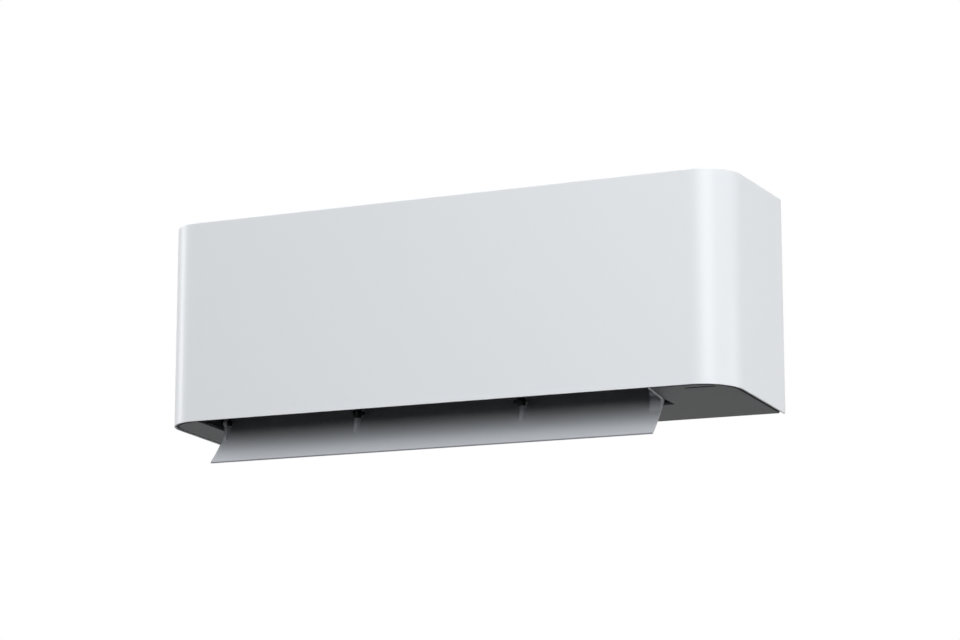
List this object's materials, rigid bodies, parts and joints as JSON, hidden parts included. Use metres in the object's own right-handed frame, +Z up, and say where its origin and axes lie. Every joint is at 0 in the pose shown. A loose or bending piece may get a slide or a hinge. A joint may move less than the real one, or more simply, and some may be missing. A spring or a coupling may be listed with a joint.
{
  "type": "mini split indoor unit",
  "caption": "Wall-hung air conditioner indoor unit: white wrap-round cover, dark underside, open outlet flap, linked vanes, drum fan, folded evaporator and lift-out top filters.",
  "frame": {"origin": "centre of the wall plate's flat back face, on the wall", "axes": "+Z up, -Y out of the wall to the front, +X to the right of someone facing the front"},
  "size_m": [0.86, 0.22, 0.3438],
  "materials": {
    "zinc_steel": "zinc-plated sheet steel",
    "black_plastic": "matte black moulded plastic",
    "white": "satin white moulded plastic",
    "dark_grey": "fine-textured dark grey moulded plastic",
    "aluminium": "fine aluminium fins",
    "copper": "drawn copper tube",
    "brass": "machined brass",
    "rubber": "matte rubber",
    "board": "green circuit board",
    "smoked_lens": "smoked translucent lens",
    "flap_white": "satin light grey-white moulded plastic",
    "filter": "grey moulded frame with fine mesh"
  },
  "bodies": {
    "casing": {"wall_plate": "zinc_steel", "chassis": "black_plastic", "front_cover": "white", "bottom_panel": "dark_grey", "top_frame": "white", "drain_pan": "black_plastic", "evaporator_front": "aluminium", "evaporator_upper": "aluminium", "evaporator_rear": "aluminium", "tube_plate_left": "aluminium", "tube_plate_right": "aluminium", "gas_pipe": "copper", "liquid_pipe": "copper", "gas_flare_nut": "brass", "liquid_flare_nut": "brass", "fan_motor": "zinc_steel", "motor_clamp": "white", "fan_bearing": "rubber", "bearing_cap": "white", "flap_support_left": "black_plastic", "flap_support_right": "black_plastic", "flap_motor": "zinc_steel", "vane_motor_left": "zinc_steel", "vane_motor_right": "zinc_steel", "control_case": "white", "control_lid": "white", "control_board": "board", "terminal_block": "black_plastic", "receiver_window": "smoked_lens", "receiver_board": "board"},
    "fan": {"cross_flow_fan": "black_plastic"},
    "flap": {"flap": "flap_white"},
    "filter_left": {"air_filter_left": "filter"},
    "filter_right": {"air_filter_right": "filter"},
    "vane_left_1": {"vane_left_1": "black_plastic"},
    "vane_left_2": {"vane_left_2": "black_plastic"},
    "vane_left_3": {"vane_left_3": "black_plastic"},
    "vane_left_4": {"vane_left_4": "black_plastic"},
    "vane_left_5": {"vane_left_5": "black_plastic"},
    "vane_left_6": {"vane_left_6": "black_plastic"},
    "link_left": {"vane_link_left": "black_plastic"},
    "vane_right_1": {"vane_right_1": "black_plastic"},
    "vane_right_2": {"vane_right_2": "black_plastic"},
    "vane_right_3": {"vane_right_3": "black_plastic"},
    "vane_right_4": {"vane_right_4": "black_plastic"},
    "vane_right_5": {"vane_right_5": "black_plastic"},
    "vane_right_6": {"vane_right_6": "black_plastic"},
    "link_right": {"vane_link_right": "black_plastic"}
  },
  "joints": [
    {"name": "fan_spin", "type": "hinge", "parent": "casing", "child": "fan", "pos_m": [0, -0.1, -0.009], "axis": [1, 0, 0], "continuous": true},
    {"name": "flap_swing", "type": "hinge", "parent": "casing", "child": "flap", "pos_m": [0, -0.146, -0.138], "axis": [1, 0, 0], "range_deg": [-53, 12]},
    {"name": "filter_left_lift", "type": "slide", "parent": "casing", "child": "filter_left", "axis": [0, 0, 1], "range_m": [0, 0.03]},
    {"name": "filter_right_lift", "type": "slide", "parent": "casing", "child": "filter_right", "axis": [0, 0, 1], "range_m": [0, 0.03]},
    {"name": "vane_left_1_turn", "type": "hinge", "parent": "casing", "child": "vane_left_1", "pos_m": [-0.328, -0.08251, -0.1004], "axis": [0, -0.8915, 0.453], "range_deg": [-35, 35]},
    {"name": "vane_left_2_turn", "type": "hinge", "parent": "casing", "child": "vane_left_2", "pos_m": [-0.274, -0.08251, -0.1004], "axis": [0, -0.8915, 0.453], "range_deg": [-35, 35]},
    {"name": "vane_left_3_turn", "type": "hinge", "parent": "casing", "child": "vane_left_3", "pos_m": [-0.22, -0.08251, -0.1004], "axis": [0, -0.8915, 0.453], "range_deg": [-35, 35]},
    {"name": "vane_left_4_turn", "type": "hinge", "parent": "casing", "child": "vane_left_4", "pos_m": [-0.166, -0.08251, -0.1004], "axis": [0, -0.8915, 0.453], "range_deg": [-35, 35]},
    {"name": "vane_left_5_turn", "type": "hinge", "parent": "casing", "child": "vane_left_5", "pos_m": [-0.112, -0.08251, -0.1004], "axis": [0, -0.8915, 0.453], "range_deg": [-35, 35]},
    {"name": "vane_left_6_turn", "type": "hinge", "parent": "casing", "child": "vane_left_6", "pos_m": [-0.058, -0.08251, -0.1004], "axis": [0, -0.8915, 0.453], "range_deg": [-35, 35]},
    {"name": "link_left_turn", "type": "hinge", "parent": "vane_left_1", "child": "link_left", "pos_m": [-0.328, -0.08465, -0.08474], "axis": [0, -0.8915, 0.453], "range_deg": [-35, 35]},
    {"name": "vane_right_1_turn", "type": "hinge", "parent": "casing", "child": "vane_right_1", "pos_m": [0.266, -0.08251, -0.1004], "axis": [0, -0.8915, 0.453], "range_deg": [-35, 35]},
    {"name": "vane_right_2_turn", "type": "hinge", "parent": "casing", "child": "vane_right_2", "pos_m": [0.212, -0.08251, -0.1004], "axis": [0, -0.8915, 0.453], "range_deg": [-35, 35]},
    {"name": "vane_right_3_turn", "type": "hinge", "parent": "casing", "child": "vane_right_3", "pos_m": [0.158, -0.08251, -0.1004], "axis": [0, -0.8915, 0.453], "range_deg": [-35, 35]},
    {"name": "vane_right_4_turn", "type": "hinge", "parent": "casing", "child": "vane_right_4", "pos_m": [0.104, -0.08251, -0.1004], "axis": [0, -0.8915, 0.453], "range_deg": [-35, 35]},
    {"name": "vane_right_5_turn", "type": "hinge", "parent": "casing", "child": "vane_right_5", "pos_m": [0.05, -0.08251, -0.1004], "axis": [0, -0.8915, 0.453], "range_deg": [-35, 35]},
    {"name": "vane_right_6_turn", "type": "hinge", "parent": "casing", "child": "vane_right_6", "pos_m": [-0.004, -0.08251, -0.1004], "axis": [0, -0.8915, 0.453], "range_deg": [-35, 35]},
    {"name": "link_right_turn", "type": "hinge", "parent": "vane_right_1", "child": "link_right", "pos_m": [0.266, -0.08465, -0.08474], "axis": [0, -0.8915, 0.453], "range_deg": [-35, 35]}
  ],
  "couplings": [
    {"joint": "vane_left_2_turn", "follows": "vane_left_1_turn", "ratio": 1},
    {"joint": "vane_left_3_turn", "follows": "vane_left_1_turn", "ratio": 1},
    {"joint": "vane_left_4_turn", "follows": "vane_left_1_turn", "ratio": 1},
    {"joint": "vane_left_5_turn", "follows": "vane_left_1_turn", "ratio": 1},
    {"joint": "vane_left_6_turn", "follows": "vane_left_1_turn", "ratio": 1},
    {"joint": "link_left_turn", "follows": "vane_left_1_turn", "ratio": -1},
    {"joint": "vane_right_2_turn", "follows": "vane_right_1_turn", "ratio": 1},
    {"joint": "vane_right_3_turn", "follows": "vane_right_1_turn", "ratio": 1},
    {"joint": "vane_right_4_turn", "follows": "vane_right_1_turn", "ratio": 1},
    {"joint": "vane_right_5_turn", "follows": "vane_right_1_turn", "ratio": 1},
    {"joint": "vane_right_6_turn", "follows": "vane_right_1_turn", "ratio": 1},
    {"joint": "link_right_turn", "follows": "vane_right_1_turn", "ratio": -1}
  ]
}
